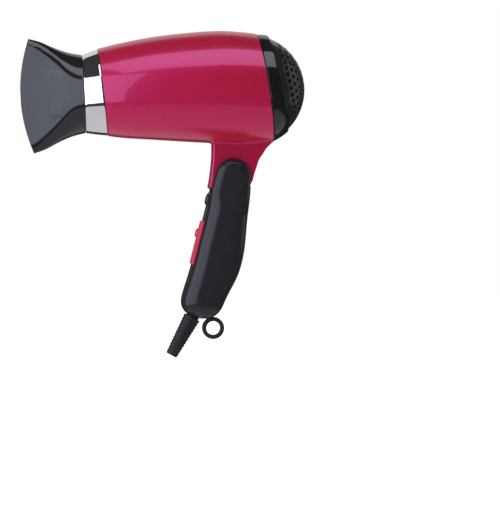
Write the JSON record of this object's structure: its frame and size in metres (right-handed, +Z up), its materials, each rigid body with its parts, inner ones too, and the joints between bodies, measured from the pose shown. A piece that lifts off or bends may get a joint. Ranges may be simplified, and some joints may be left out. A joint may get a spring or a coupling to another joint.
{
  "type": "hair dryer",
  "caption": "Folding travel hair dryer: egg-shaped barrel, fishtail nozzle that turns, and a handle with slide switch that folds under the barrel.",
  "frame": {"origin": "middle of the bounding box of the unfolded dryer", "axes": "+Z up along the barrel-to-handle direction, +X towards the air intake, -X the way the air leaves, +Y the dryer's right-hand side with the screws"},
  "size_m": [0.1985, 0.0782, 0.229],
  "materials": {
    "pink_plastic": "pearlescent gloss",
    "gloss_black": "high gloss",
    "grille_black": "semi matt",
    "satin_black": "satin",
    "button_black": "satin gloss",
    "chrome": "mirror plated",
    "switch_pink": "satin",
    "black_rubber": "matt",
    "fan_plastic": "matt",
    "switch_black": "matt",
    "mica": "flaky mineral sheet",
    "heating_wire": "oxidised wire",
    "zinc_steel": "zinc plated",
    "steel_shaft": "ground",
    "white_nylon": "matt",
    "circuit_board": "solder mask",
    "wire_sleeve": "silicone sleeve"
  },
  "bodies": {
    "barrel": {"barrel_shell_left": "pink_plastic", "barrel_shell_right": "pink_plastic", "front_ring": "chrome", "outlet_grille": "grille_black", "rear_ring": "gloss_black", "intake_grille": "grille_black", "mica_board_upright": "mica", "mica_board_flat": "mica", "heating_coil_front": "heating_wire", "heating_coil_rear": "heating_wire", "heat_shield_tube": "mica", "thermostat": "white_nylon", "thermal_fuse": "zinc_steel", "fan_duct": "fan_plastic", "motor_can": "zinc_steel", "heater_leads": "wire_sleeve", "neck_screw": "zinc_steel"},
    "handle": {"handle_shell_left": "satin_black", "handle_shell_right": "satin_black", "hinge_tube": "zinc_steel", "friction_washer_left": "white_nylon", "friction_washer_right": "white_nylon", "circuit_board": "circuit_board", "switch_body": "switch_black", "button_switch": "switch_black", "button_spring": "steel_shaft", "cord_clamp": "white_nylon", "strain_relief": "black_rubber", "hang_loop": "black_rubber", "handle_leads": "wire_sleeve", "handle_screw_1": "zinc_steel", "handle_screw_2": "zinc_steel", "handle_screw_3": "zinc_steel"},
    "nozzle": {"nozzle": "gloss_black"},
    "fan": {"fan_impeller": "fan_plastic", "motor_shaft": "steel_shaft"},
    "switch": {"switch_slider": "switch_pink"},
    "button": {"button_cap": "button_black"}
  },
  "joints": [
    {"name": "handle_fold", "type": "hinge", "parent": "barrel", "child": "handle", "pos_m": [0.04835, 0, 0.01357], "axis": [0, 1, 0], "range_deg": [0, 76]},
    {"name": "nozzle_spin", "type": "hinge", "parent": "barrel", "child": "nozzle", "pos_m": [-0.05515, 0, 0.07057], "axis": [-0.999, 0, -0.0454], "continuous": true},
    {"name": "fan_spin", "type": "hinge", "parent": "barrel", "child": "fan", "pos_m": [0.04835, 0, 0.07507], "axis": [1, 0, 0], "continuous": true},
    {"name": "switch_slide", "type": "slide", "parent": "handle", "child": "switch", "axis": [0.247, 0, 0.969], "range_m": [0, 0.008]},
    {"name": "button_press", "type": "slide", "parent": "handle", "child": "button", "axis": [0.969, 0, -0.247], "range_m": [0, 0.0011], "stiffness_N_per_m": 800, "springref_m": -0.0006}
  ]
}
